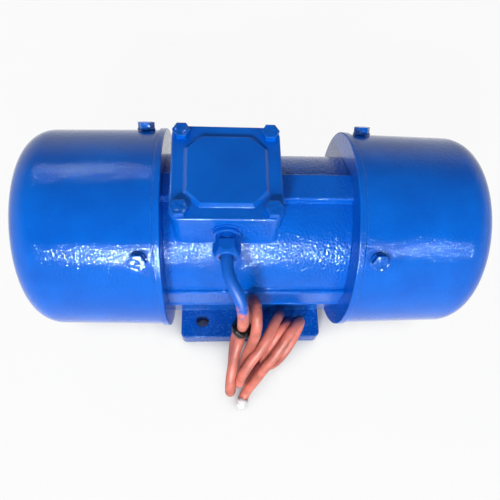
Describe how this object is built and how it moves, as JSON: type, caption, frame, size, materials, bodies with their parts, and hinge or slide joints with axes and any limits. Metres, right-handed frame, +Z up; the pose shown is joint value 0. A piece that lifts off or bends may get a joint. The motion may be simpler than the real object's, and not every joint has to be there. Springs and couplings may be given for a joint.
{
  "type": "vibration motor",
  "caption": "Foot-mounted industrial vibration motor: cast frame with a terminal box on top, domed end covers over eccentric weights, and a supply cable tied in a hank.",
  "frame": {"origin": "centre of the foot bolt pattern, on the mounting plane under the foot", "axes": "+X along the shaft, +Z up through the terminal box, the gland and cable leave towards -Y"},
  "size_m": [0.432, 0.256, 0.1993],
  "materials": {
    "blue_enamel": "glossy royal blue enamel, sprayed over cast and pressed metal",
    "lamination_steel": "stacked laminations, dull",
    "varnished_copper": "copper wire under amber varnish",
    "cast_aluminium": "as cast",
    "machined_steel": "turned and ground, lightly oiled",
    "bearing_steel": "ground and polished",
    "cage_brass": "machined brass",
    "weight_iron": "flame-cut plate, grey primer",
    "zinc_fasteners": "zinc plated",
    "terminal_brass": "bright brass",
    "moulded_insulation": "brown-black moulding compound",
    "black_rubber": "matt",
    "lead_insulation": "soft insulated leads",
    "cable_sheath": "salmon-red sheath with blue overspray near the gland",
    "black_tape": "shiny black tape",
    "white_cap": "white end cap"
  },
  "bodies": {
    "housing": {"frame": "blue_enamel", "stator_core": "lamination_steel", "stator_windings": "varnished_copper", "terminal_lid": "blue_enamel", "lid_gasket": "black_rubber", "lid_bolts": "blue_enamel", "terminal_block": "moulded_insulation", "terminal_studs": "terminal_brass", "terminal_nuts": "terminal_brass", "star_link": "terminal_brass", "block_screws": "zinc_fasteners", "earth_screw": "terminal_brass", "gland_washer": "blue_enamel", "gland_body": "blue_enamel", "gland_nut": "blue_enamel", "gland_seal": "black_rubber", "winding_leads": "lead_insulation", "supply_cores": "lead_insulation", "cable_tail": "cable_sheath", "supply_cable": "cable_sheath", "cable_hank": "cable_sheath", "hank_tie": "black_tape", "cable_end_cap": "white_cap", "shield_screws": "zinc_fasteners", "cap_screws": "zinc_fasteners", "left_end_shield": "blue_enamel", "right_end_shield": "blue_enamel", "left_bearing_outer_ring": "bearing_steel", "right_bearing_outer_ring": "bearing_steel", "left_bearing_cap": "machined_steel", "right_bearing_cap": "machined_steel", "left_shaft_seal": "black_rubber", "right_shaft_seal": "black_rubber", "left_cover": "blue_enamel", "right_cover": "blue_enamel", "left_cover_gasket": "black_rubber", "right_cover_gasket": "black_rubber", "left_cover_bolts": "blue_enamel", "right_cover_bolts": "blue_enamel"},
    "rotor": {"shaft": "machined_steel", "rotor_core": "lamination_steel", "rotor_cage": "cast_aluminium", "weight_keys": "machined_steel", "end_washers": "machined_steel", "end_nuts": "zinc_fasteners", "left_bearing_inner_ring": "bearing_steel", "right_bearing_inner_ring": "bearing_steel", "left_spacer_sleeve": "machined_steel", "right_spacer_sleeve": "machined_steel", "left_fixed_weight": "weight_iron", "right_fixed_weight": "weight_iron"},
    "left_roller_set": {"left_bearing_rollers": "bearing_steel", "left_roller_cage": "cage_brass"},
    "left_setting_weight": {"left_adjustable_weight": "weight_iron", "left_clamp_bolt": "zinc_fasteners"},
    "right_roller_set": {"right_bearing_rollers": "bearing_steel", "right_roller_cage": "cage_brass"},
    "right_setting_weight": {"right_adjustable_weight": "weight_iron", "right_clamp_bolt": "zinc_fasteners"}
  },
  "joints": [
    {"name": "rotor_spin", "type": "hinge", "parent": "housing", "child": "rotor", "pos_m": [0, 0, 0.097], "axis": [1, 0, 0], "continuous": true},
    {"name": "left_roller_orbit", "type": "hinge", "parent": "housing", "child": "left_roller_set", "pos_m": [-0.0835, 0, 0.097], "axis": [1, 0, 0], "continuous": true},
    {"name": "right_roller_orbit", "type": "hinge", "parent": "housing", "child": "right_roller_set", "pos_m": [0.0835, 0, 0.097], "axis": [1, 0, 0], "continuous": true},
    {"name": "left_weight_setting", "type": "hinge", "parent": "rotor", "child": "left_setting_weight", "pos_m": [-0.1465, 0, 0.097], "axis": [1, 0, 0], "range_deg": [0, 180]},
    {"name": "right_weight_setting", "type": "hinge", "parent": "rotor", "child": "right_setting_weight", "pos_m": [0.1465, 0, 0.097], "axis": [1, 0, 0], "range_deg": [0, 180]}
  ],
  "couplings": [
    {"joint": "left_roller_orbit", "follows": "rotor_spin", "ratio": 0.39412},
    {"joint": "right_roller_orbit", "follows": "rotor_spin", "ratio": 0.39412}
  ]
}
